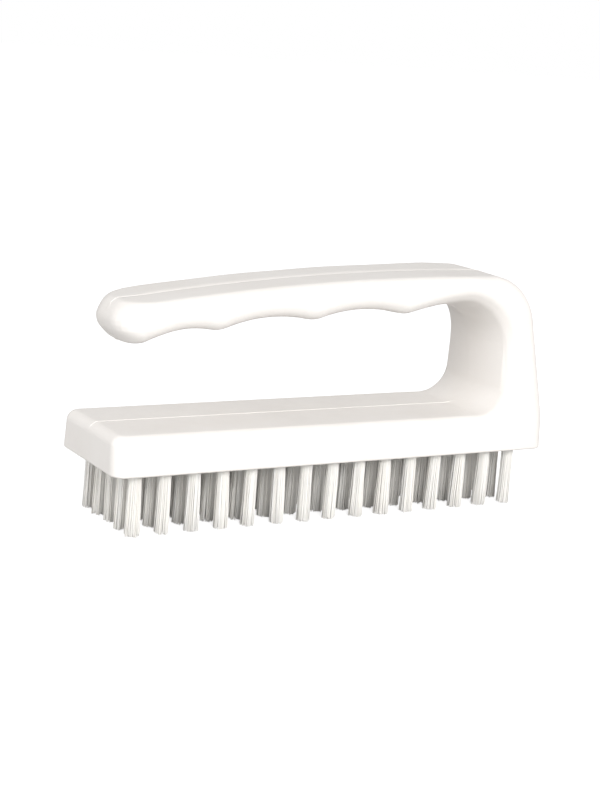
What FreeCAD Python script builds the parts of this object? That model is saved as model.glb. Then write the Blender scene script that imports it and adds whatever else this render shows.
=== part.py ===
import FreeCAD, Part
import os
import Sketcher

X_AXIS = FreeCAD.Vector(1, 0, 0)
Y_AXIS = FreeCAD.Vector(0, 1, 0)
ORIGIN = FreeCAD.Vector(0, 0, 0)
QUARTER_TURN = 90
FULL_TURN = 360

COLUMNS = 15
ROWS = 5
# Points closer together than this are the same point.
TOUCH = 1e-4

# Driving dimensions in millimetres, angles in degrees.
# The origin lies under the middle of the block's length, on the mould's parting plane, at the tuft tips.
# The open nose of the handle points to -X and the upright stands at +X.
DIMENSIONS = {
    # block
    "block_length": 118.0,
    "block_width": 31.4,
    "block_thickness": 9.25,
    # handle and upright, seen from the side on the parting plane
    "finger_gap": 18.7,
    "nose_setback": 2.0,
    "nose_lean": 2.1,
    "nose_depth": 9.3,
    "nose_pad": 5.4,
    "first_groove_span": 18.7,
    "first_groove_radius": 24.5,
    "finger_groove_depth": 1.94,
    "first_ridge_rise": 2.7,
    "second_ridge_rise": 1.9,
    "third_ridge_rise": 0.95,
    "last_groove_span": 17.3,
    "last_groove_rise": 2.25,
    "palm_radius": 11.0,
    "foot_radius": 6.5,
    "upright_inset": 14.0,
    "heel_setback": 6.2,
    "heel_rise": 5.75,
    "heel_knee_height": 8.7,
    "handle_top_radius": 667.0,
    # widths between the leaning sides, one overrun above the heel
    "handle_width_nose": 20.0,
    "handle_width_heel": 24.6,
    # draft of the mould and roundings
    "draft_angle": 0.5,
    "ridge_radius": 8.0,
    "heel_radius": 13.0,
    "knee_radius": 20.0,
    "nose_flat": 0.4,
    "grip_edge_radius": 2.5,
    "corner_margin": 0.7,
    "edge_land": 3.8,
    "base_edge_radius": 0.5,
    "overrun": 3.0,
    # tufts, their holes and the staples
    "tuft_reach": 14.5,
    "first_column_margin": 6.65,
    "last_column_margin": 8.31,
    "side_row_margin": 3.92,
    "hole_diameter": 3.0,
    "hole_depth": 7.0,
    "tuft_clearance": 0.1,
    "tip_diameter": 3.4,
    "fold_radius": 0.8,
    "fold_thickness": 0.7,
    "anchor_bite": 0.3,
    "anchor_height": 1.9,
    "anchor_thickness": 0.3,
}

doc = FreeCAD.newDocument("nail_brush")


def make_sheet():
    """Spreadsheet with one aliased cell per driving dimension."""
    sheet = doc.addObject("Spreadsheet::Sheet", "sizes")
    for row, (alias, value) in enumerate(DIMENSIONS.items(), start=1):
        sheet.set(f"A{row}", alias)
        sheet.set(f"B{row}", str(value))
        sheet.setAlias(f"B{row}", alias)
    doc.recompute()
    return sheet


sizes = make_sheet()


def number(expression):
    """Present value of an expression in the sheet's aliases."""
    value = sizes.evalExpression(expression)
    return getattr(value, "Value", value)


def bind(owner, **expressions):
    """Ties properties of an object to expressions, with a double underscore for a dot."""
    for name, expression in expressions.items():
        owner.setExpression(name.replace("__", "."), expression)


# Heights and places that several pieces share, as expressions.
UNDERSIDE = "sizes.tuft_reach"
BLOCK_TOP = f"{UNDERSIDE} + sizes.block_thickness"
GRIP = f"{BLOCK_TOP} + sizes.finger_gap"
RIDGE_1 = f"{GRIP} + sizes.first_ridge_rise"
RIDGE_2 = f"{RIDGE_1} + sizes.second_ridge_rise"
RIDGE_3 = f"{RIDGE_2} + sizes.third_ridge_rise"
PALM = f"{RIDGE_3} + sizes.last_groove_rise"
NOSE_TOP = f"{GRIP} + sizes.nose_depth"
HEEL_TOP = f"{NOSE_TOP} + sizes.heel_rise"
KNEE = f"{UNDERSIDE} + sizes.heel_knee_height"
BELOW = f"{UNDERSIDE} - sizes.overrun"
ABOVE = f"{HEEL_TOP} + sizes.overrun"
END = "sizes.block_length / 2"
NOSE_LOW_X = f"-{END} + sizes.nose_setback"
NOSE_TOP_X = f"{NOSE_LOW_X} + sizes.nose_lean"
PAD_X = f"{NOSE_LOW_X} + sizes.nose_pad"
RIDGE_1_X = f"{PAD_X} + sizes.first_groove_span"
INNER_X = f"{END} - sizes.upright_inset"
PALM_X = f"{INNER_X} - sizes.palm_radius"
RIDGE_3_X = f"{PALM_X} - sizes.last_groove_span"
RIDGE_2_X = f"({RIDGE_1_X} + {RIDGE_3_X}) / 2"
HEEL_X = f"{END} - sizes.heel_setback"
BACK_SLOPE = f"sizes.heel_setback / ({HEEL_TOP} - ({KNEE}))"
BACK_LOW_X = f"{END} + ({KNEE} - ({BELOW})) * {BACK_SLOPE}"
TOP_EDGE_RADIUS = "sizes.nose_depth - sizes.grip_edge_radius - sizes.edge_land"

OUTLINE_POINTS = {
    "low_left": (f"-{END} - sizes.overrun", BELOW),
    "low_right": (BACK_LOW_X, BELOW),
    "heel": (HEEL_X, HEEL_TOP),
    "nose_top": (NOSE_TOP_X, NOSE_TOP),
    "nose_low": (NOSE_LOW_X, GRIP),
    "pad_end": (PAD_X, GRIP),
    "ridge_1": (RIDGE_1_X, RIDGE_1),
    "ridge_2": (RIDGE_2_X, RIDGE_2),
    "ridge_3": (RIDGE_3_X, RIDGE_3),
    "palm_start": (PALM_X, PALM),
    "palm_end": (INNER_X, f"{PALM} - sizes.palm_radius"),
    "foot_start": (INNER_X, f"{BLOCK_TOP} + sizes.foot_radius"),
    "foot_end": (f"{INNER_X} - sizes.foot_radius", BLOCK_TOP),
    "top_left": (f"-{END} - sizes.overrun", BLOCK_TOP),
}


def groove_radius(rise):
    """Radius of the finger groove between two ridges, from its span, its rise and its depth."""
    chord = f"(({RIDGE_2_X} - ({RIDGE_1_X}))^2 + ({rise})^2)"
    return f"{chord} / (8 * sizes.finger_groove_depth) + sizes.finger_groove_depth / 2"


# Each side of the outline runs from its point to the next. A radius makes it an arc that bulges to the
# left of its run (+1) or to the right (-1), as seen with +Z up.
OUTLINE_ARCS = {
    "heel": ("sizes.handle_top_radius", -1),
    "pad_end": ("sizes.first_groove_radius", 1),
    "ridge_1": (groove_radius("sizes.second_ridge_rise"), 1),
    "ridge_2": (groove_radius("sizes.third_ridge_rise"), 1),
    "ridge_3": ("(sizes.last_groove_span^2 + sizes.last_groove_rise^2) / (2 * sizes.last_groove_rise)", 1),
    "palm_start": ("sizes.palm_radius", 1),
    "foot_start": ("sizes.foot_radius", 1),
}

ENVELOPE_LOW_POINTS = {
    "left_middle": (f"-{END}", "-sizes.overrun"),
    "right_middle": (END, "-sizes.overrun"),
    "right_side": (END, "sizes.block_width / 2"),
    "left_side": (f"-{END}", "sizes.block_width / 2"),
}
ENVELOPE_HIGH_POINTS = {
    "left_middle": (f"-{END}", "-sizes.overrun"),
    "right_middle": (END, "-sizes.overrun"),
    "right_side": (END, "sizes.handle_width_heel / 2"),
    "left_side": (f"-{END}", "sizes.handle_width_nose / 2"),
}


def arc_between(start, end, radius, bulge):
    """Arc from start to end, always counter-clockwise, as a sketch holds it."""
    chord = end - start
    left = FreeCAD.Vector(-chord.y, chord.x, 0).normalize()
    reach = (radius ** 2 - chord.Length ** 2 / 4) ** 0.5
    centre = (start + end) / 2 - left * bulge * reach
    first, last = (end, start) if bulge > 0 else (start, end)
    circle = Part.Circle(centre, FreeCAD.Vector(0, 0, 1), radius)
    return Part.ArcOfCircle(circle, circle.parameter(first), circle.parameter(last))


def draw_outline(name, points, arcs):
    """Closed sketch whose corners and radii are all bound to the sheet."""
    sketch = doc.addObject("Sketcher::SketchObject", name)
    corners = {label: FreeCAD.Vector(number(x), number(y), 0) for label, (x, y) in points.items()}
    labels = list(points)
    followers = labels[1:] + labels[:1]
    ends = {}
    for label, follower in zip(labels, followers):
        if label in arcs:
            radius, bulge = arcs[label]
            side = arc_between(corners[label], corners[follower], number(radius), bulge)
            ends[label] = (2, 1) if bulge > 0 else (1, 2)
        else:
            side = Part.LineSegment(corners[label], corners[follower])
            ends[label] = (1, 2)
        sketch.addGeometry(side, False)
    for index, (label, follower) in enumerate(zip(labels, followers)):
        follower_index = labels.index(follower)
        joint = Sketcher.Constraint("Coincident", index, ends[label][1], follower_index, ends[follower][0])
        sketch.addConstraint(joint)
    for index, label in enumerate(labels):
        start = ends[label][0]
        for suffix, kind, distance, expression in (
            ("x", "DistanceX", corners[label].x, points[label][0]),
            ("y", "DistanceY", corners[label].y, points[label][1]),
        ):
            added = sketch.addConstraint(Sketcher.Constraint(kind, -1, 1, index, start, distance))
            sketch.renameConstraint(added, f"{label}_{suffix}")
            sketch.setExpression(f"Constraints.{label}_{suffix}", expression)
        if label in arcs:
            radius = arcs[label][0]
            added = sketch.addConstraint(Sketcher.Constraint("Radius", index, number(radius)))
            sketch.renameConstraint(added, f"{label}_radius")
            sketch.setExpression(f"Constraints.{label}_radius", radius)
    return sketch


def make_half_blank():
    """Half of the moulding on +Y, with its draft and its leaning side but with sharp edges."""
    outline = draw_outline("side_outline", OUTLINE_POINTS, OUTLINE_ARCS)
    outline.Placement = FreeCAD.Placement(ORIGIN, FreeCAD.Rotation(X_AXIS, QUARTER_TURN))
    drafted = doc.addObject("Part::Extrusion", "drafted_half")
    drafted.Base = outline
    drafted.DirMode = "Custom"
    drafted.Dir = Y_AXIS
    drafted.Solid = True
    bind(drafted, LengthFwd="sizes.block_width / 2 + sizes.overrun", TaperAngle="-sizes.draft_angle")

    low = draw_outline("envelope_low", ENVELOPE_LOW_POINTS, {})
    bind(low, Placement__Base__z=UNDERSIDE)
    high = draw_outline("envelope_high", ENVELOPE_HIGH_POINTS, {})
    bind(high, Placement__Base__z=ABOVE)
    envelope = doc.addObject("Part::Loft", "envelope")
    envelope.Sections = [low, high]
    envelope.Solid = True
    envelope.Ruled = True

    blank = doc.addObject("Part::Common", "half_blank")
    blank.Base = drafted
    blank.Tool = envelope
    doc.recompute()
    return blank


def place(x, y, z):
    """Point whose coordinates are given as expressions."""
    return FreeCAD.Vector(number(x), number(y), number(z))


def crossing_edge(shape, x, z):
    """Name of the edge that leaves the parting plane at this place and runs outwards."""
    start = place(x, "0", z)
    for index, edge in enumerate(shape.Edges, start=1):
        first, last = edge.Vertexes[0].Point, edge.Vertexes[-1].Point
        touches = min((first - start).Length, (last - start).Length) < TOUCH
        if touches and max(first.y, last.y) > TOUCH:
            return f"Edge{index}"
    raise RuntimeError(f"no edge leaves the parting plane at {start}")


def outer_edge(shape, x, y, z):
    """Name of the edge nearest to this place, of those that stay clear of the parting plane."""
    target = Part.Vertex(place(x, y, z))
    clear = [
        (edge.distToShape(target)[0], index)
        for index, edge in enumerate(shape.Edges, start=1)
        if min(vertex.Point.y for vertex in edge.Vertexes) > TOUCH
    ]
    return f"Edge{min(clear)[1]}"


def round_edges(body, name, radius, find):
    """Fillet of the body's last shape, on the edges that find names, and on all that run on smoothly."""
    base = body.Tip
    fillet = body.newObject("PartDesign::Fillet", name)
    fillet.Base = (base, find(base.Shape))
    bind(fillet, Radius=radius)
    body.Tip = fillet
    doc.recompute()


def make_moulding():
    """Whole moulding: the rounded half and its mirror image."""
    half = doc.addObject("PartDesign::Body", "moulding_half")
    half.BaseFeature = make_half_blank()
    doc.recompute()
    ridges = ("pad_end", "ridge_1", "ridge_2", "ridge_3")
    round_edges(half, "heel_rounding", "sizes.heel_radius",
                lambda shape: [crossing_edge(shape, HEEL_X, HEEL_TOP)])
    round_edges(half, "ridge_rounding", "sizes.ridge_radius",
                lambda shape: [crossing_edge(shape, *OUTLINE_POINTS[ridge]) for ridge in ridges])
    round_edges(half, "knee_rounding", "sizes.knee_radius",
                lambda shape: [crossing_edge(shape, END, KNEE)])
    round_edges(half, "nose_plan_rounding", "sizes.handle_width_nose / 2 - sizes.nose_flat",
                lambda shape: [outer_edge(shape, NOSE_LOW_X, "sizes.handle_width_nose / 2",
                                          f"{GRIP} + sizes.nose_depth / 2")])
    round_edges(half, "end_corner_rounding", "sizes.grip_edge_radius + sizes.corner_margin",
                lambda shape: [outer_edge(shape, f"-{END}", "sizes.block_width / 2",
                                          f"{UNDERSIDE} + sizes.block_thickness / 2")])
    round_edges(half, "grip_edge_rounding", "sizes.grip_edge_radius",
                lambda shape: [outer_edge(shape, "0", "sizes.block_width / 2", BLOCK_TOP)])
    round_edges(half, "top_edge_rounding", TOP_EDGE_RADIUS,
                lambda shape: [outer_edge(shape, "0", "sizes.handle_width_heel / 2", HEEL_TOP)])
    round_edges(half, "base_edge_rounding", "sizes.base_edge_radius",
                lambda shape: [outer_edge(shape, "0", "sizes.block_width / 2", UNDERSIDE)])

    mirrored = doc.addObject("Part::Mirroring", "moulding_mirrored")
    mirrored.Source = half
    mirrored.Base = ORIGIN
    mirrored.Normal = Y_AXIS
    moulding = doc.addObject("Part::Fuse", "moulding")
    moulding.Base = half
    moulding.Tool = mirrored
    moulding.Refine = True
    return moulding


# The staple lies in the fold, under the filaments that bend over it at the bottom of the hole.
ROOT_END = f"{UNDERSIDE} + sizes.hole_depth - sizes.tuft_clearance"
ROOT_RADIUS = "(sizes.hole_diameter / 2 - sizes.tuft_clearance)"
ANCHOR_LOW = f"{ROOT_END} - sizes.fold_thickness - sizes.anchor_height"
ANCHOR_LENGTH = "(sizes.hole_diameter + 2 * sizes.anchor_bite)"

# The tufts stand in a grid that keeps its margins to the block's edges.
FIRST_COLUMN_X = f"-{END} + sizes.first_column_margin"
COLUMN_SPAN = "(sizes.block_length - sizes.first_column_margin - sizes.last_column_margin)"
COLUMN_PITCH = f"{COLUMN_SPAN} / {COLUMNS - 1}"
FIRST_ROW_Y = "sizes.side_row_margin - sizes.block_width / 2"
ROW_PITCH = f"(sizes.block_width - 2 * sizes.side_row_margin) / {ROWS - 1}"

TUFT_POINTS = {
    "tip_middle": ("0", "0"),
    "tip_side": ("sizes.tip_diameter / 2", "0"),
    "mouth": (ROOT_RADIUS, UNDERSIDE),
    "fold_side": (ROOT_RADIUS, ROOT_END),
    "fold_middle": ("0", ROOT_END),
}


def make_anchor(name):
    """Flat staple in its place on the tuft's axis, long way along X."""
    anchor = doc.addObject("Part::Box", name)
    bind(
        anchor,
        Length=ANCHOR_LENGTH,
        Width="sizes.anchor_thickness",
        Height="sizes.anchor_height",
        Placement__Base__x=f"-{ANCHOR_LENGTH} / 2",
        Placement__Base__y="-sizes.anchor_thickness / 2",
        Placement__Base__z=ANCHOR_LOW,
    )
    return anchor


def make_tuft(anchor):
    """One folded tuft on the Z axis: the root in its hole, the flared bristles, the slot of the staple."""
    profile = draw_outline("tuft_profile", TUFT_POINTS, {})
    profile.Placement = FreeCAD.Placement(ORIGIN, FreeCAD.Rotation(X_AXIS, QUARTER_TURN))
    bundle = doc.addObject("Part::Revolution", "tuft_bundle")
    bundle.Source = profile
    bundle.Axis = FreeCAD.Vector(0, 0, 1)
    bundle.Angle = FULL_TURN
    bundle.Solid = True
    folded = doc.addObject("PartDesign::Body", "tuft_folded")
    folded.BaseFeature = bundle
    doc.recompute()
    round_edges(folded, "fold_rounding", "sizes.fold_radius",
                lambda shape: [nearest_circle(shape, ROOT_END)])
    tuft = doc.addObject("Part::Cut", "tuft")
    tuft.Base = folded
    tuft.Tool = anchor
    return tuft


def nearest_circle(shape, z):
    """Name of the round edge that lies nearest to this height."""
    height = number(z)
    rounds = [
        (abs(edge.CenterOfMass.z - height), index)
        for index, edge in enumerate(shape.Edges, start=1)
        if isinstance(edge.Curve, Part.Circle)
    ]
    return f"Edge{min(rounds)[1]}"


def make_hole(seat):
    """Space of one tuft hole with the seat that its staple bites into the walls."""
    bore = doc.addObject("Part::Cylinder", "tuft_bore")
    bind(
        bore,
        Radius="sizes.hole_diameter / 2",
        Height="sizes.hole_depth + sizes.overrun",
        Placement__Base__z=BELOW,
    )
    hole = doc.addObject("Part::Fuse", "tuft_hole")
    hole.Base = bore
    hole.Tool = seat
    return hole


def copies_in_column(source, column):
    """One copy of the source at each row of a column, counted from the nose end."""
    copies = []
    for row in range(ROWS):
        copy = doc.addObject("App::Link", f"{source.Name}_{column + 1:02d}_{row + 1}")
        copy.LinkedObject = source
        copy.LinkTransform = True
        bind(
            copy,
            Placement__Base__x=f"{FIRST_COLUMN_X} + {column} * {COLUMN_PITCH}",
            Placement__Base__y=f"{FIRST_ROW_Y} + {row} * {ROW_PITCH}",
        )
        copies.append(copy)
    return copies


def group(name, members):
    """Separate solids held together under one name."""
    compound = doc.addObject("Part::Compound", name)
    compound.Links = members
    compound.Label = name
    return compound


def make_brush():
    """All sub-parts of the brush."""
    anchor = make_anchor("anchor")
    tuft = make_tuft(anchor)
    hole = make_hole(make_anchor("anchor_seat"))
    moulding = make_moulding()
    holes = [copy for column in range(COLUMNS) for copy in copies_in_column(hole, column)]
    brush_body = doc.addObject("Part::Cut", "brush_body")
    brush_body.Base = moulding
    brush_body.Tool = group("hole_grid", holes)
    sub_parts = [brush_body]
    for column in range(COLUMNS):
        sub_parts.append(group(f"tuft_column_{column + 1:02d}", copies_in_column(tuft, column)))
        sub_parts.append(group(f"anchor_column_{column + 1:02d}", copies_in_column(anchor, column)))
    doc.recompute()
    return sub_parts


def check_document(sub_parts):
    """Stops if any object failed or any sub-part's shape is missing or broken."""
    for thing in doc.Objects:
        if "Invalid" in thing.State or "Error" in thing.State:
            raise RuntimeError(f"{thing.Name} failed: {thing.State}")
    for sub_part in sub_parts:
        if sub_part.Shape.isNull() or not sub_part.Shape.isValid():
            raise RuntimeError(f"{sub_part.Label} has no sound shape")


def write_steps(sub_parts):
    """One STEP file per sub-part."""
    os.makedirs("parts", exist_ok=True)
    for sub_part in sub_parts:
        sub_part.Shape.exportStep(f"parts/{sub_part.Label}.step")
        print(sub_part.Label, len(sub_part.Shape.Solids), "solids", round(sub_part.Shape.Volume, 1), "mm3")


brush = make_brush()
check_document(brush)
write_steps(brush)
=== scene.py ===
import logging
import math
from dataclasses import dataclass, field
from enum import Enum

import bpy
import numpy as np
from mathutils import Matrix, Vector


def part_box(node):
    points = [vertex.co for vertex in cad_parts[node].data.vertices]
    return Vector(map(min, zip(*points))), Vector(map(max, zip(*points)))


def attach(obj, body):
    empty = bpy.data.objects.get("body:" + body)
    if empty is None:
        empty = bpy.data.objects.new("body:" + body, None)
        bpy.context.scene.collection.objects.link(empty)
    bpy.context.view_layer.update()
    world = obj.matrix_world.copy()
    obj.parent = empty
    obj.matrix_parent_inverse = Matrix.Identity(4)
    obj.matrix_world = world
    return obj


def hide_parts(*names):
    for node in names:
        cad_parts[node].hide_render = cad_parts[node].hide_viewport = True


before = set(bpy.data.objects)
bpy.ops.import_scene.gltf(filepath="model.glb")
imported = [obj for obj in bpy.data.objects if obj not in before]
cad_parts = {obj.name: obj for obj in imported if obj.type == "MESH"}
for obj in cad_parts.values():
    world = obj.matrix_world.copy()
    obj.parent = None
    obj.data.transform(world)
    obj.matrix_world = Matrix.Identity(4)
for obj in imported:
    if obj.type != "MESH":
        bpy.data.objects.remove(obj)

LOG = logging.getLogger("nail_brush")
MM = 0.001
BODY = "root"
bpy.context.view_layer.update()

Colour = tuple[float, float, float, float]
Triple = tuple[float, float, float]
Socket = bpy.types.NodeSocket

COLUMNS = 15
ROWS = 5
# Most values of a noise lie between these two.
NOISE_LOW = 0.3
NOISE_HIGH = 0.7


class Slot(Enum):
    """Names of the pieces' three finishes: moulding, bristle and staple."""

    MOULDING = "moulding"
    BRISTLE = "bristle"
    STAPLE = "staple"


class Thread(Enum):
    """Attributes that each filament carries for its finish."""

    SHADE = "filament_shade"
    TIP = "filament_tip"


def deselect_all() -> None:
    """Leaves no object selected, the CAD nodes among them."""
    bpy.ops.object.select_all(action="DESELECT")


def activate(piece: bpy.types.Object) -> None:
    """Makes a piece the only selected object and the active one.

    Args:
        piece: Object that the next operators act on.
    """
    deselect_all()
    piece.select_set(True)
    bpy.context.view_layer.objects.active = piece


def add_object(name: str, mesh: bpy.types.Mesh) -> bpy.types.Object:
    """Puts a mesh into the scene as an object at the origin.

    Args:
        name: Name of the new piece.
        mesh: Mesh with its place in its vertices.

    Returns:
        The new object.
    """
    piece = bpy.data.objects.new(name, mesh)
    bpy.context.scene.collection.objects.link(piece)
    return piece


def points_of(mesh: bpy.types.Mesh) -> np.ndarray:
    """Reads the places of a mesh's vertices.

    Args:
        mesh: Mesh to read.

    Returns:
        Array of one row of three coordinates per vertex.
    """
    points = np.zeros(len(mesh.vertices) * 3)
    mesh.vertices.foreach_get("co", points)
    return points.reshape(-1, 3)


def normals_of(mesh: bpy.types.Mesh) -> np.ndarray:
    """Reads the directions that a mesh's vertices face, one row each."""
    return np.array([vertex.normal for vertex in mesh.vertices])


def set_points(mesh: bpy.types.Mesh, points: np.ndarray) -> None:
    """Moves a mesh's vertices.

    Args:
        mesh: Mesh to change.
        points: New places, one row per vertex.
    """
    mesh.vertices.foreach_set("co", points.ravel())
    mesh.update()


def smooth_step(low: float, high: float, value: np.ndarray) -> np.ndarray:
    """Eases from 0 at low to 1 at high.

    Args:
        low: Value where the step starts.
        high: Value where the step ends.
        value: Values to ease.

    Returns:
        Shares from 0 to 1.
    """
    share = np.clip((value - low) / (high - low), 0, 1)
    return share * share * (3 - 2 * share)


class NodeBench:
    """A material's node tree with short ways to add and join nodes."""

    def __init__(self, name: str) -> None:
        """Starts a material that holds only a shader and its output.

        Args:
            name: Name of the material.
        """
        self.material = bpy.data.materials.new(name)
        self.material.use_nodes = True
        self.tree = self.material.node_tree
        self.shader = self.tree.nodes["Principled BSDF"]

    def add(self, kind: str, **inputs: object) -> bpy.types.Node:
        """Adds a node and sets its input sockets.

        Args:
            kind: Blender's name of the node type.
            inputs: Values by socket name, with underscores for spaces.

        Returns:
            The new node.
        """
        node = self.tree.nodes.new(kind)
        for name, value in inputs.items():
            node.inputs[name.replace("_", " ")].default_value = value
        return node

    def join(self, source: Socket, target: Socket) -> None:
        """Links an output socket to an input socket."""
        self.tree.links.new(source, target)

    def attribute(self, thread: Thread) -> Socket:
        """Reads a value that the filaments carry.

        Args:
            thread: Attribute to read.

        Returns:
            Socket with the attribute's value.
        """
        node = self.add("ShaderNodeAttribute")
        node.attribute_name = thread.value
        return node.outputs["Fac"]

    def times(self, value: Socket, factor: float) -> Socket:
        """Multiplies a value by a constant.

        Args:
            value: Socket with the value.
            factor: Constant to multiply by.

        Returns:
            Socket with the product.
        """
        node = self.add("ShaderNodeMath")
        node.operation = "MULTIPLY"
        node.inputs[1].default_value = factor
        self.join(value, node.inputs[0])
        return node.outputs["Value"]

    def noise(self, scale: float, detail: float, stretch: Triple = (1, 1, 1)) -> Socket:
        """Adds noise in object space.

        Args:
            scale: Noise cells per metre.
            detail: Number of finer layers.
            stretch: Factors on the three axes.

        Returns:
            Socket with the noise's value.
        """
        place = self.add("ShaderNodeTexCoord")
        mapping = self.add("ShaderNodeMapping", Scale=stretch)
        texture = self.add("ShaderNodeTexNoise", Scale=scale, Detail=detail)
        self.join(place.outputs["Object"], mapping.inputs["Vector"])
        self.join(mapping.outputs["Vector"], texture.inputs["Vector"])
        return texture.outputs["Fac"]

    def ranged(self, value: Socket, low: float, high: float) -> Socket:
        """Maps the middle of a noise's range to two values.

        Args:
            value: Socket with the noise.
            low: Result where the noise is low.
            high: Result where the noise is high.

        Returns:
            Socket with the mapped value.
        """
        limits = {"From_Min": NOISE_LOW, "From_Max": NOISE_HIGH, "To_Min": low, "To_Max": high}
        mapped = self.add("ShaderNodeMapRange", **limits)
        self.join(value, mapped.inputs["Value"])
        return mapped.outputs["Result"]

    def blended(self, share: Socket, first: Colour | Socket, second: Colour) -> Socket:
        """Blends two colours.

        Args:
            share: Socket that goes from 0 for the first colour to 1 for the second.
            first: First colour, or the socket that it comes from.
            second: Second colour.

        Returns:
            Socket with the blended colour.
        """
        mix = self.add("ShaderNodeMix")
        mix.data_type = "RGBA"
        if isinstance(first, Socket):
            self.join(first, mix.inputs["A"])
        else:
            mix.inputs["A"].default_value = first
        mix.inputs["B"].default_value = second
        self.join(share, mix.inputs["Factor"])
        return mix.outputs["Result"]

    def bumped(self, height: Socket, depth: float, under: Socket | None) -> Socket:
        """Adds relief to the surface.

        Args:
            height: Socket with the relief's height.
            depth: Depth of the relief in metres.
            under: Socket with the normal of the relief below, if there is one.

        Returns:
            Socket with the new normal.
        """
        bump = self.add("ShaderNodeBump", Strength=1.0, Distance=depth)
        self.join(height, bump.inputs["Height"])
        if under is not None:
            self.join(under, bump.inputs["Normal"])
        return bump.outputs["Normal"]


@dataclass(frozen=True)
class MouldedPlastic:
    """White moulded plastic with a soft gloss, faintly uneven in tone, gloss and flatness."""

    light: Colour = (0.83, 0.80, 0.77, 1)
    deep: Colour = (0.80, 0.765, 0.73, 1)
    cloud_scale: float = 70
    cloud_detail: float = 3
    gloss_low: float = 0.38
    gloss_high: float = 0.5
    gloss_scale: float = 500
    gloss_detail: float = 4
    sheen_level: float = 0.35
    grain_scale: float = 5000
    grain_detail: float = 2
    grain_depth: float = 0.0035 * MM
    wave_scale: float = 110
    wave_detail: float = 1
    wave_depth: float = 0.05 * MM

    def material(self) -> bpy.types.Material:
        """Builds the finish.

        Returns:
            Material with procedural tone, gloss and relief.
        """
        bench = NodeBench("moulded_plastic")
        shader = bench.shader
        cloud = bench.noise(self.cloud_scale, self.cloud_detail)
        tone = bench.ranged(cloud, 0, 1)
        bench.join(bench.blended(tone, self.light, self.deep), shader.inputs["Base Color"])
        patches = bench.noise(self.gloss_scale, self.gloss_detail)
        gloss = bench.ranged(patches, self.gloss_low, self.gloss_high)
        bench.join(gloss, shader.inputs["Roughness"])
        shader.inputs["Specular IOR Level"].default_value = self.sheen_level
        waves = bench.noise(self.wave_scale, self.wave_detail)
        grains = bench.noise(self.grain_scale, self.grain_detail)
        waved = bench.bumped(waves, self.wave_depth, None)
        grained = bench.bumped(grains, self.grain_depth, waved)
        bench.join(grained, shader.inputs["Normal"])
        return bench.material


@dataclass(frozen=True)
class BristlePlastic:
    """Drawn white filament, each thread a shade of its own and greyer at its cut tip."""

    pale: Colour = (0.91, 0.90, 0.875, 1)
    warm: Colour = (0.87, 0.845, 0.795, 1)
    tip: Colour = (0.6, 0.59, 0.57, 1)
    tip_share: float = 0.4
    roughness: float = 0.38

    def material(self) -> bpy.types.Material:
        """Builds the finish.

        Returns:
            Material that reads each filament's shade and the distance to its tip.
        """
        bench = NodeBench("bristle_plastic")
        shader = bench.shader
        colour = bench.blended(bench.attribute(Thread.SHADE), self.pale, self.warm)
        # Each filament turns greyer towards its two tips.
        tip_greying = bench.times(bench.attribute(Thread.TIP), self.tip_share)
        bench.join(bench.blended(tip_greying, colour, self.tip), shader.inputs["Base Color"])
        shader.inputs["Roughness"].default_value = self.roughness
        return bench.material


@dataclass(frozen=True)
class StapleSteel:
    """Bright flat wire, drawn lengthwise."""

    tone: Colour = (0.62, 0.61, 0.59, 1)
    shade: Colour = (0.5, 0.49, 0.47, 1)
    roughness_low: float = 0.25
    roughness_high: float = 0.4
    draw_scale: float = 4000
    draw_detail: float = 2
    draw_stretch: Triple = (0.05, 1, 1)

    def material(self) -> bpy.types.Material:
        """Builds the finish.

        Returns:
            Metal with streaks along the wire.
        """
        bench = NodeBench("staple_steel")
        shader = bench.shader
        streak = bench.noise(self.draw_scale, self.draw_detail, self.draw_stretch)
        bench.join(bench.blended(streak, self.tone, self.shade), shader.inputs["Base Color"])
        roughness = bench.ranged(streak, self.roughness_low, self.roughness_high)
        bench.join(roughness, shader.inputs["Roughness"])
        shader.inputs["Metallic"].default_value = 1.0
        return bench.material


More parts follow.
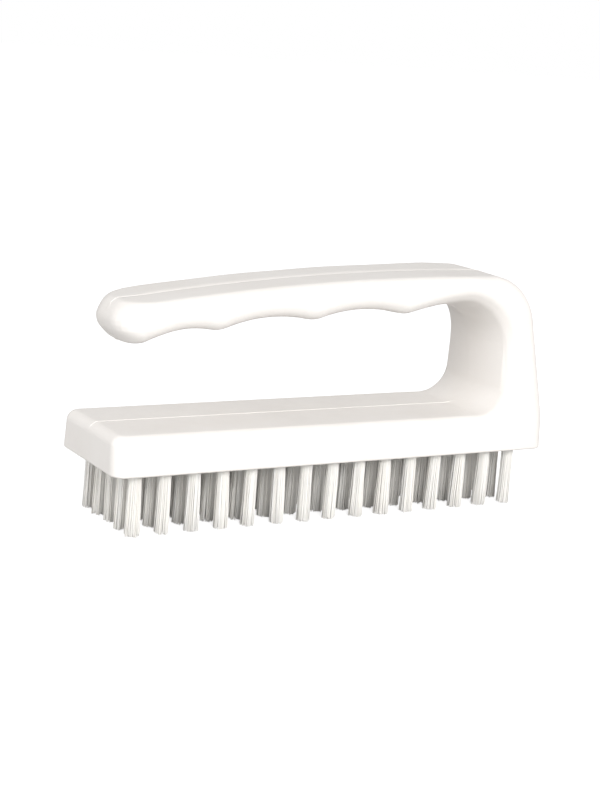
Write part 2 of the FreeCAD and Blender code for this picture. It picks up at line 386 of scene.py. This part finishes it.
@dataclass
class MouldedBody:
    """Block, upright and handle: one moulding with the fine ridge of its parting line."""

    finish: MouldedPlastic
    node: str = "brush_body"
    name: str = "moulded_body"
    merge_distance: float = 0.001 * MM
    crease_angle: float = math.radians(34)
    # drilled part of the block, which keeps its CAD shape
    field_margin: float = 0.6 * MM
    # parting line
    ridge_half_width: float = 0.11 * MM
    ridge_height: float = 0.09 * MM
    end_ridge_share: float = 0.3
    level_facing: float = 0.5
    # points on the middle plane, in half widths of the ridge
    middle_band: float = 1.5
    # sunk top of the handle
    sink_depth: float = 0.28 * MM
    sink_fade: float = 9.0 * MM
    top_facing: float = 0.9
    # middle line of the finger gap
    gap_end: float = 34.0 * MM
    gap_level: float = 35.5 * MM
    gap_radius: float = 11.0 * MM
    gap_facing: float = -0.5
    # crown of the upright and the grip, its places in quarter turns of the gap
    edge_radius: float = 2.5 * MM
    upright_crown: float = 2.9 * MM
    palm_swell: float = 0.9 * MM
    handle_crown: float = 0.75 * MM
    handle_half_width: float = 11.0 * MM
    crown_blend: float = 6.5 * MM
    crown_fade: float = 22.0 * MM
    crown_start: float = -0.85
    crown_full: float = -0.1
    fall_start: float = 0.8
    swell_reach: float = 0.4
    crown_cuts: tuple[float, ...] = (1.0, 2.2, 3.6, 5.2, 6.8, 8.2, 9.4, 10.4, 11.2, 12.0, 13.0)
    # dome of the nose
    nose_cuts: int = 9
    nose_facing: float = -0.35
    dome_rise: float = 0.3 * MM
    dome_depth: float = 3.4 * MM
    dome_reach: float = 9.0 * MM
    dome_order: int = 4
    piece: bpy.types.Object = field(init=False)

    def build(self) -> None:
        """Copies the CAD moulding and shapes its grip, sunk top, parting line and nose."""
        self.piece = add_object(self.name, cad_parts[self.node].data.copy())
        activate(self.piece)
        bpy.ops.mesh.customdata_custom_splitnormals_clear()
        bpy.ops.object.mode_set(mode="EDIT")
        bpy.ops.mesh.select_all(action="SELECT")
        bpy.ops.mesh.remove_doubles(threshold=self.merge_distance)
        bpy.ops.mesh.mark_sharp(clear=True)
        cuts = [cut * MM for cut in self.crown_cuts] + [self.ridge_half_width]
        for across in [-cut for cut in cuts] + [0.0] + cuts:
            self.cut((0, across, 0), (0, 1, 0))
        nose_low, nose_high = self.nose_levels()
        for level in np.linspace(nose_low, nose_high, self.nose_cuts + 2)[1:-1]:
            self.cut((0, 0, level), (0, 0, 1))
        bpy.ops.object.mode_set(mode="OBJECT")
        self.crown_grip()
        self.sink_handle_top()
        self.raise_parting_line()
        self.swell_nose()
        self.shade()

    def cut(self, place: Triple, direction: Triple) -> None:
        """Adds edges all round the moulding where a plane crosses it, in edit mode.

        Args:
            place: Point on the plane.
            direction: Direction that the plane faces.
        """
        bpy.ops.mesh.select_all(action="SELECT")
        bpy.ops.mesh.bisect(plane_co=place, plane_no=direction, threshold=self.merge_distance)

    def upper_half(self, points: np.ndarray) -> np.ndarray:
        """Tells which points lie in the upper half of the moulding, where the handle is.

        Args:
            points: Places, one row each.

        Returns:
            One truth value per point.
        """
        low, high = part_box(self.node)
        return points[:, 2] > (low.z + high.z) / 2

    def near_middle(self, points: np.ndarray) -> np.ndarray:
        """Tells which points lie on the parting plane or close to it.

        Args:
            points: Places, one row each.

        Returns:
            One truth value per point.
        """
        return np.abs(points[:, 1]) < self.ridge_half_width * self.middle_band

    def nose_levels(self) -> tuple[float, float]:
        """Measures the nose on the CAD moulding.

        Returns:
            Heights of the nose's lowest and highest points.
        """
        points = points_of(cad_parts[self.node].data)
        on_handle = self.upper_half(points)
        end = points[on_handle, 0].min()
        nose = on_handle & (points[:, 0] < end + self.dome_reach)
        return points[nose, 2].min(), points[nose, 2].max()

    def follow_gap(self, points: np.ndarray) -> tuple[np.ndarray, np.ndarray, np.ndarray]:
        """Finds where points lie along the finger gap, from the block round to the handle.

        Args:
            points: Places, one row each.

        Returns:
            Place along the gap, reach from its middle line, and direction away from that line.
        """
        along = points[:, 0] - self.gap_end
        rise = points[:, 2] - self.gap_level
        past = np.maximum(along, 0)
        reach = np.hypot(past, rise)
        away = np.column_stack([past, np.zeros(len(points)), rise])
        away /= np.maximum(reach, self.merge_distance)[:, None]
        route = np.arctan2(rise, past) * self.gap_radius + np.sign(rise) * np.maximum(-along, 0)
        return route, reach, away

    def crown_grip(self) -> None:
        """Rounds the upright's inner side and the grip across their width, as a hand wants them."""
        mesh = self.piece.data
        points, normals = points_of(mesh), normals_of(mesh)
        low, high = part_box(self.node)
        route, reach, away = self.follow_gap(points)
        drilled_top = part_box("tuft_column_15")[1].z + self.field_margin
        facing = ((normals * away).sum(1) < self.gap_facing) & (points[:, 2] > drilled_top)
        wall = facing & self.near_middle(points)
        order = np.argsort(route[wall])
        beyond = reach - np.interp(route, route[wall][order], reach[wall][order])
        share = 1 - smooth_step(self.edge_radius, self.edge_radius + self.crown_blend, beyond)
        share *= smooth_step(drilled_top, drilled_top + self.edge_radius, points[:, 2])
        quarter = math.pi / 2 * self.gap_radius
        start, full = quarter * self.crown_start, quarter * self.crown_full
        crown = self.upright_crown * smooth_step(start, full, route)
        fall_start = quarter * self.fall_start
        fall = smooth_step(fall_start, fall_start + self.crown_fade, route)
        crown += (self.handle_crown - self.upright_crown) * fall
        level = (points[:, 2] - low.z) / (high.z - low.z)
        half_width = high.y + (self.handle_half_width - high.y) * level
        across = np.clip(np.abs(points[:, 1]) / half_width, 0, 1)
        palm = quarter * self.swell_reach
        swell = self.palm_swell * smooth_step(-palm, palm, route) * (1 - fall)
        points += away * ((crown * across**2 - swell) * share)[:, None]
        set_points(mesh, points)

    def sink_handle_top(self) -> None:
        """Lowers the middle of the handle's top, where the thick moulding shrinks as it cools."""
        mesh = self.piece.data
        points, normals = points_of(mesh), normals_of(mesh)
        on_top = self.upper_half(points) & (normals[:, 2] > self.top_facing)
        middle = on_top & self.near_middle(points)
        along = points[:, 0]
        start, end = along[middle].min(), along[middle].max()
        share = smooth_step(start, start + self.sink_fade, along)
        share *= smooth_step(-end, -end + self.sink_fade, -along)
        points[middle, 2] -= (self.sink_depth * share)[middle]
        set_points(mesh, points)

    def raise_parting_line(self) -> None:
        """Lifts the edge on the parting plane, apart from where the tuft holes are drilled."""
        mesh = self.piece.data
        points, normals = points_of(mesh), normals_of(mesh)
        low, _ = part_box("tuft_column_01")
        _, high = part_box("tuft_column_15")
        drilled = (
            (points[:, 0] > low.x - self.field_margin)
            & (points[:, 0] < high.x + self.field_margin)
            & (points[:, 2] < high.z + self.field_margin)
        )
        route, _, away = self.follow_gap(points)
        on_upright = ((normals * away).sum(1) < 0) & (np.abs(route) < self.gap_radius)
        line = (np.abs(points[:, 1]) < self.merge_distance) & ~drilled & ~on_upright
        level = np.abs(normals[:, 2]) > self.level_facing
        height = np.where(level, self.ridge_height, self.ridge_height * self.end_ridge_share)
        points[line] += normals[line] * height[line][:, None]
        set_points(mesh, np.clip(points, *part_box(self.node)))

    def swell_nose(self) -> None:
        """Domes the end of the nose, which the CAD solid leaves flat between its roundings."""
        mesh = self.piece.data
        points, normals = points_of(mesh), normals_of(mesh)
        nose_low, nose_high = self.nose_levels()
        on_handle = self.upper_half(points)
        end = points[on_handle, 0].min()
        near = points[:, 0] < end + self.dome_reach / 2
        ahead = near & (normals[:, 0] < self.nose_facing)
        middle = on_handle & ahead & (np.abs(points[:, 1]) < self.ridge_half_width)
        level = np.clip((2 * points[:, 2] - nose_low - nose_high) / (nose_high - nose_low), -1, 1)
        wanted = end - self.dome_rise + self.dome_depth * level**2
        shift = np.polyfit(level[middle], (wanted - points[:, 0])[middle], self.dome_order)
        along = 1 - smooth_step(end, end + self.dome_reach, points[:, 0])
        points[on_handle, 0] += (np.polyval(shift, level) * along)[on_handle]
        set_points(mesh, points)

    def shade(self) -> None:
        """Smooths the shading and keeps the large faces flat in it."""
        activate(self.piece)
        bpy.ops.object.shade_smooth_by_angle(angle=self.crease_angle)
        weighted = self.piece.modifiers.new("even_normals", "WEIGHTED_NORMAL")
        weighted.keep_sharp = True
        bpy.ops.object.modifier_apply(modifier=weighted.name)

    def dress(self) -> None:
        """Gives the moulding its finish and its place in the frame."""
        self.piece.data.materials.clear()
        self.piece.data.materials.append(self.finish.material())
        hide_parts(self.node)
        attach(self.piece, BODY)
        faces = len(self.piece.data.polygons)
        LOG.info("%s stands for %s with %d faces", self.name, self.node, faces)


@dataclass
class TuftField:
    """All tufts: bundles of filaments, each folded over its staple in its hole."""

    finish: BristlePlastic
    filament: float = 0.26 * MM
    sides: int = 6
    crease_angle: float = math.radians(50)
    # bundle in its hole
    spacing: float = 0.264 * MM
    bundle_radius: float = 1.36 * MM
    fold_gap: float = 0.3 * MM
    fold_start: float = 0.9 * MM
    fold_nest: float = 0.35
    fold_turns: Triple = (math.pi / 4, math.pi / 2, 3 * math.pi / 4)
    # bristles below the hole, from tip to mouth
    levels: tuple[float, ...] = (0.0, 0.28, 0.62, 1.0)
    flare: float = 1.18
    flare_spread: float = 0.06
    flare_power: float = 1.2
    clumps: int = 6
    clump_pull: float = 0.1
    clump_least: float = 0.2
    tip_scatter: float = 0.06 * MM
    bow_scatter: float = 0.05 * MM
    lean_scatter: float = 0.12 * MM
    length_scatter: float = 0.36 * MM
    seed: int = 1394
    pieces: list[bpy.types.Object] = field(default_factory=list)

    def model_rod(self) -> bpy.types.Mesh:
        """Models one straight filament, one unit between its rings.

        Returns:
            Mesh of the closed rod along Z.
        """
        # Each side has a ring per level and one where its fold starts.
        rings = 2 * (len(self.levels) + 1) + len(self.fold_turns)
        deselect_all()
        bpy.ops.mesh.primitive_circle_add(
            vertices=self.sides, radius=self.filament / 2, fill_type="NGON"
        )
        rod = bpy.context.object
        bpy.ops.object.mode_set(mode="EDIT")
        bpy.ops.mesh.select_all(action="SELECT")
        for _ in range(rings - 1):
            bpy.ops.mesh.extrude_region_move(TRANSFORM_OT_translate={"value": (0, 0, 1)})
        bpy.ops.mesh.select_all(action="SELECT")
        bpy.ops.mesh.normals_make_consistent(inside=False)
        bpy.ops.object.mode_set(mode="OBJECT")
        mesh = rod.data
        bpy.data.objects.remove(rod)
        return mesh

    def legs(self) -> np.ndarray:
        """Packs the filaments of half a tuft beside its staple.

        Returns:
            Array of one row per filament, along X and across.
        """
        places = []
        across = self.fold_gap
        while across < self.bundle_radius:
            half = math.sqrt(self.bundle_radius**2 - across**2)
            count = int(2 * half / self.spacing) + 1
            start = -(count - 1) / 2 * self.spacing
            places += [(start + index * self.spacing, across) for index in range(count)]
            across += self.spacing * math.sqrt(3) / 2
        return np.array(places)

    def route(
        self, legs: np.ndarray, mouth: float, top: float, draw: np.random.Generator
    ) -> np.ndarray:
        """Runs the filaments of one tuft from tip to fold to tip.

        Args:
            legs: Places of the filaments beside the staple.
            mouth: Height of the hole's mouth above the tips.
            top: Height of the fold above the tips.
            draw: Source of the tuft's own irregularities.

        Returns:
            Array of filaments by rings by coordinates, about the tuft's axis.
        """
        shoulder = top - self.fold_start
        flare = self.flare + draw.normal(0, self.flare_spread)
        lean = draw.normal(0, self.lean_scatter, 2)
        centres = draw.uniform(-1, 1, (self.clumps, 2)) * self.bundle_radius * flare
        sides = []
        for sign in (1, -1):
            root = legs * (1, sign)
            tip = root * flare + lean
            gap = np.linalg.norm(tip[:, None] - centres[None], axis=2)
            pull = self.clump_pull * draw.uniform(self.clump_least, 1, (len(tip), 1))
            tip += (centres[gap.argmin(1)] - tip) * pull
            tip += draw.normal(0, self.tip_scatter, tip.shape)
            bow = draw.normal(0, self.bow_scatter, tip.shape)
            floor = np.abs(draw.normal(0, self.length_scatter, len(tip)))
            rings = []
            for level in self.levels:
                share = (1 - level) ** self.flare_power
                spot = root + (tip - root) * share + bow * math.sin(math.pi * level)
                rings.append(np.column_stack([spot, floor + (mouth - floor) * level]))
            rings.append(np.column_stack([root, np.full(len(root), shoulder)]))
            sides.append(rings)
        near, far = sides
        along, across = legs.T
        rise = self.fold_start - self.filament / 2
        rise = rise - self.fold_nest * self.fold_gap * (1 - across / self.bundle_radius)
        bend = [
            np.column_stack([along, across * math.cos(turn), shoulder + rise * math.sin(turn)])
            for turn in self.fold_turns
        ]
        return np.stack(near + bend + far[::-1], axis=1)

    def bend(self, rod: bpy.types.Mesh, routes: np.ndarray, twist: np.ndarray) -> np.ndarray:
        """Bends copies of the straight rod along their routes.

        Args:
            rod: Straight filament.
            routes: Filaments by rings by coordinates.
            twist: Turn of each filament about its own line.

        Returns:
            Vertices of all filaments, filament by filament.
        """
        shape = points_of(rod)
        ring = np.rint(shape[:, 2]).astype(int)
        run = np.gradient(routes, axis=1)
        run /= np.linalg.norm(run, axis=2, keepdims=True)
        side = np.array([1.0, 0, 0]) - run * run[:, :, :1]
        side /= np.linalg.norm(side, axis=2, keepdims=True)
        other = np.cross(run, side)
        turn_cos, turn_sin = np.cos(twist)[:, None, None], np.sin(twist)[:, None, None]
        first = side * turn_cos + other * turn_sin
        second = other * turn_cos - side * turn_sin
        bent = routes[:, ring] + first[:, ring] * shape[:, :1] + second[:, ring] * shape[:, 1:2]
        return bent.reshape(-1, 3)

    def build(self) -> None:
        """Models one filament and lays copies of it out as the tufts of every column."""
        rod = self.model_rod()
        legs = self.legs()
        for column in range(1, COLUMNS + 1):
            self.pieces.append(self.build_column(column, rod, legs))
        LOG.info("%d folded filaments of %d faces in each tuft", len(legs), len(rod.polygons))
        bpy.data.meshes.remove(rod)

    def build_column(
        self, column: int, rod: bpy.types.Mesh, legs: np.ndarray
    ) -> bpy.types.Object:
        """Builds the tufts across the block at one place along it.

        Args:
            column: Number of the column, counted from the nose end.
            rod: Straight filament.
            legs: Places of the filaments beside the staple.

        Returns:
            The column's own piece.
        """
        low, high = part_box(f"tuft_column_{column:02d}")
        block_low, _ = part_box("brush_body")
        draw = np.random.default_rng(self.seed + column)
        middle = (low + high) / 2
        tip_width = high.x - low.x
        pitch = (high.y - low.y - tip_width) / (ROWS - 1)
        points, shades, ends = [], [], []
        ring = np.rint(points_of(rod)[:, 2]).astype(int)
        at_tip = ((ring == 0) | (ring == ring.max())).astype(float)
        # No filament reaches below the plane that the tips stand on.
        lowest = (-np.inf, -np.inf, low.z)
        for row in range(ROWS):
            centre = np.array([middle.x, middle.y + (row - (ROWS - 1) / 2) * pitch, low.z])
            routes = self.route(legs, block_low.z - low.z, high.z - low.z, draw)
            twist = draw.uniform(0, 2 * math.pi, len(legs))
            points.append(np.maximum(self.bend(rod, routes + centre, twist), lowest))
            shades.append(np.repeat(draw.uniform(0, 1, len(legs)), len(ring)))
            ends.append(np.tile(at_tip, len(legs)))
        mesh = self.copies(f"bristles_{column:02d}", rod, np.concatenate(points))
        for thread, values in ((Thread.SHADE, shades), (Thread.TIP, ends)):
            attribute = mesh.attributes.new(thread.value, "FLOAT", "POINT")
            attribute.data.foreach_set("value", np.concatenate(values).astype(np.float32))
        return add_object(mesh.name, mesh)

    def copies(self, name: str, rod: bpy.types.Mesh, points: np.ndarray) -> bpy.types.Mesh:
        """Joins bent copies of the rod into one mesh.

        Args:
            name: Name of the new mesh.
            rod: Straight filament that gives the faces.
            points: Vertices of all copies in turn.

        Returns:
            The joined mesh.
        """
        pattern = [list(polygon.vertices) for polygon in rod.polygons]
        starts = range(0, len(points), len(rod.vertices))
        faces = [[start + corner for corner in face] for start in starts for face in pattern]
        mesh = bpy.data.meshes.new(name)
        mesh.from_pydata(points.tolist(), [], faces)
        mesh.update()
        return mesh

    def dress(self) -> None:
        """Gives the tufts their finish and their places in the frame."""
        material = self.finish.material()
        for column, piece in enumerate(self.pieces, start=1):
            activate(piece)
            bpy.ops.object.shade_smooth_by_angle(angle=self.crease_angle)
            piece.data.materials.append(material)
            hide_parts(f"tuft_column_{column:02d}")
            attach(piece, BODY)
            LOG.info("%s with %d faces", piece.name, len(piece.data.polygons))


@dataclass
class Staples:
    """Flat wire staples that hold the tufts, hidden in the holes, as the CAD has them."""

    finish: StapleSteel

    def dress(self) -> None:
        """Gives the CAD staples their steel."""
        material = self.finish.material()
        for column in range(1, COLUMNS + 1):
            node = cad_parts[f"anchor_column_{column:02d}"]
            node.data.materials.clear()
            node.data.materials.append(material)
        LOG.info("%d columns of staples dressed", COLUMNS)


@dataclass(frozen=True)
class SoftBox:
    """A rectangular studio light aimed at a point."""

    name: str
    place: Triple
    target: Triple
    width: float
    height: float
    watts: float

    def build(self) -> None:
        """Sets the light up."""
        lamp = bpy.data.lights.new(self.name, "AREA")
        lamp.shape = "RECTANGLE"
        lamp.size = self.width
        lamp.size_y = self.height
        lamp.energy = self.watts
        light = bpy.data.objects.new(self.name, lamp)
        bpy.context.scene.collection.objects.link(light)
        light.location = self.place
        aim = Vector(self.target) - Vector(self.place)
        light.rotation_euler = aim.to_track_quat("-Z", "Y").to_euler()


@dataclass
class Studio:
    """Floor, light and camera."""

    eye: Triple = (-0.21561, -0.34729, 0.11799)
    yaw: float = math.radians(31.33)
    pitch: float = math.radians(12.71)
    roll: float = math.radians(4.67)
    lens: float = 78.25
    sensor: float = 36.0
    floor_size: float = 6.0
    floor_drop: float = 0.05 * MM
    floor_colour: Colour = (0.55, 0.55, 0.55, 1)
    floor_glow: float = 0.8
    white: Colour = (1, 1, 1, 1)
    sky_low: float = 0.75
    sky_high: float = 0.48
    sky_rise: float = 0.5
    boxes: tuple[SoftBox, ...] = (
        SoftBox("key_box", (-0.08, -1.04, 0.58), (0, 0, 0.03), 0.75, 0.55, 12.0),
        SoftBox("side_box", (-1.12, -0.16, 0.38), (0, 0, 0.02), 1.5, 0.7, 5.8),
    )

    def build(self) -> None:
        """Sets up the floor, the light and the camera."""
        scene = bpy.context.scene
        scene.view_settings.view_transform = "Standard"
        self.build_floor()
        self.build_sky()
        for box in self.boxes:
            box.build()
        self.build_camera()

    def build_floor(self) -> None:
        """Lays the pale floor just under the bristle tips."""
        deselect_all()
        bpy.ops.mesh.primitive_plane_add(size=self.floor_size, location=(0, 0, -self.floor_drop))
        floor = bpy.context.object
        floor.name = "floor"
        bench = NodeBench("pale_floor")
        bench.shader.inputs["Base Color"].default_value = self.floor_colour
        bench.shader.inputs["Roughness"].default_value = 1.0
        bench.shader.inputs["Specular IOR Level"].default_value = 0.0
        bench.shader.inputs["Emission Color"].default_value = self.white
        seen = bench.add("ShaderNodeLightPath")
        glow = bench.times(seen.outputs["Is Camera Ray"], self.floor_glow)
        bench.join(glow, bench.shader.inputs["Emission Strength"])
        floor.data.materials.append(bench.material)

    def build_sky(self) -> None:
        """Surrounds the scene with even dim light in front of a white wall."""
        world = bpy.data.worlds.new("studio")
        world.use_nodes = True
        tree = world.node_tree
        background = tree.nodes["Background"]
        background.inputs["Color"].default_value = self.white
        look = tree.nodes.new("ShaderNodeTexCoord")
        split = tree.nodes.new("ShaderNodeSeparateXYZ")
        height = tree.nodes.new("ShaderNodeMapRange")
        height.interpolation_type = "SMOOTHSTEP"
        height.inputs["From Max"].default_value = self.sky_rise
        height.inputs["To Min"].default_value = self.sky_low
        height.inputs["To Max"].default_value = self.sky_high
        seen = tree.nodes.new("ShaderNodeLightPath")
        strength = tree.nodes.new("ShaderNodeMapRange")
        strength.inputs["To Max"].default_value = 1.0
        tree.links.new(look.outputs["Generated"], split.inputs["Vector"])
        tree.links.new(split.outputs["Z"], height.inputs["Value"])
        tree.links.new(height.outputs["Result"], strength.inputs["To Min"])
        tree.links.new(seen.outputs["Is Camera Ray"], strength.inputs["Value"])
        tree.links.new(strength.outputs["Result"], background.inputs["Strength"])
        bpy.context.scene.world = world

    def build_camera(self) -> None:
        """Stands the camera where the photograph was taken."""
        data = bpy.data.cameras.new("photo_camera")
        data.lens = self.lens
        data.sensor_width = self.sensor
        camera = bpy.data.objects.new("photo_camera", data)
        bpy.context.scene.collection.objects.link(camera)
        turn = (
            Matrix.Rotation(-self.yaw, 4, "Z")
            @ Matrix.Rotation(math.pi / 2 - self.pitch, 4, "X")
            @ Matrix.Rotation(self.roll, 4, "Z")
        )
        camera.matrix_world = Matrix.Translation(self.eye) @ turn
        bpy.context.scene.camera = camera


def main() -> None:
    """Builds and dresses the brush, then the studio round it."""
    logging.basicConfig(level=logging.INFO, format="%(message)s")
    body = MouldedBody(MouldedPlastic())
    body.build()
    body.dress()
    tufts = TuftField(BristlePlastic())
    tufts.build()
    tufts.dress()
    Staples(StapleSteel()).dress()
    Studio().build()


if __name__ == "__main__":
    main()
